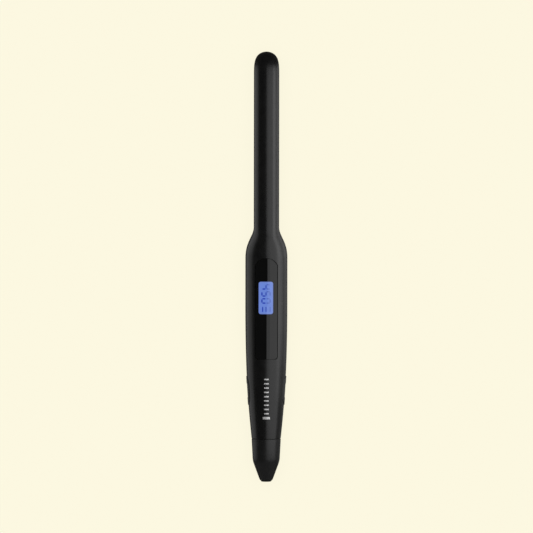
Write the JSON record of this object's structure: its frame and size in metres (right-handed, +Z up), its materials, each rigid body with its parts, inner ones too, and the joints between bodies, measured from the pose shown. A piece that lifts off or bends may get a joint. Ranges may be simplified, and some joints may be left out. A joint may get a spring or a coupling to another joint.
{
  "type": "curling iron",
  "caption": "Pencil-slim black curling iron: two half-round hinged arms close into a round barrel, with a glossy display panel and a swivelling cord outlet.",
  "frame": {"origin": "middle of the closed iron's bounding box, on the surface it lies on", "axes": "+Y along the iron towards the tip, +X across, +Z up through the display"},
  "size_m": [0.027, 0.277, 0.0265],
  "materials": {
    "shell_black": "satin black moulding",
    "cap_black": "satin black moulding",
    "inner_black": "fine texture",
    "plate_coating": "smooth dark ceramic coating",
    "ceramic_white": "fired ceramic",
    "natural_resin": "natural heat-resistant resin",
    "lead_red": "silicone insulation",
    "bright_steel": "bright",
    "fuse_metal": "plain",
    "dark_resin": "glass-filled resin",
    "component_black": "moulded packages",
    "sensor_amber": "glass bead",
    "panel_gloss": "polished black",
    "window_blue": "lit blue display behind a polished face",
    "lcd_glass": "display glass",
    "diffuser_white": "diffusing acrylic",
    "board_green": "solder mask",
    "brass": "plain",
    "button_silver": "satin silver coating",
    "button_black": "satin black",
    "gland_rubber": "soft rubber"
  },
  "bodies": {
    "lower_arm": {"lower_shell": "shell_black", "lower_inner_cover": "inner_black", "lower_plate": "plate_coating", "lower_heater": "ceramic_white", "lower_carrier": "natural_resin", "lower_leads": "lead_red", "thermal_fuse": "fuse_metal", "lower_cover_screws": "bright_steel", "hinge_tongue": "dark_resin", "hinge_bush": "natural_resin", "hinge_springs": "bright_steel"},
    "upper_arm": {"upper_shell": "shell_black", "housing_cover": "shell_black", "upper_inner_cover": "inner_black", "upper_plate": "plate_coating", "upper_heater": "ceramic_white", "upper_carrier": "natural_resin", "thermistor": "sensor_amber", "upper_leads": "lead_red", "display_panel": "panel_gloss", "display_window": "window_blue", "display_module": "lcd_glass", "backlight": "diffuser_white", "circuit_board": "board_green", "board_components": "component_black", "key_switches": "bright_steel", "board_screws": "bright_steel", "upper_cover_screws": "bright_steel", "hinge_pin": "bright_steel", "hinge_caps": "cap_black", "swivel_socket": "natural_resin", "swivel_contacts": "brass"},
    "power_key": {"power_button": "button_silver"},
    "plus_key": {"plus_button": "button_black"},
    "minus_key": {"minus_button": "button_black"},
    "tail": {"tail_cone": "shell_black", "swivel_spindle": "dark_resin", "slip_rings": "brass", "cord_gland": "gland_rubber", "cord_clamp": "dark_resin", "clamp_screws": "bright_steel"}
  },
  "joints": [
    {"name": "arm_hinge", "type": "hinge", "parent": "lower_arm", "child": "upper_arm", "pos_m": [0, -0.0798, 0.0129], "axis": [1, 0, 0], "range_deg": [0, 10]},
    {"name": "cord_swivel", "type": "hinge", "parent": "upper_arm", "child": "tail", "pos_m": [0, -0.1085, 0.0129], "axis": [0, 1, 0], "continuous": true},
    {"name": "power_press", "type": "slide", "parent": "upper_arm", "child": "power_key", "axis": [0, 0, 1], "range_m": [0, 0.0008], "stiffness_N_per_m": 300, "springref_m": -0.0003},
    {"name": "plus_press", "type": "slide", "parent": "upper_arm", "child": "plus_key", "axis": [0, 0, 1], "range_m": [0, 0.0008], "stiffness_N_per_m": 300, "springref_m": -0.0003},
    {"name": "minus_press", "type": "slide", "parent": "upper_arm", "child": "minus_key", "axis": [0, 0, 1], "range_m": [0, 0.0008], "stiffness_N_per_m": 300, "springref_m": -0.0003}
  ]
}
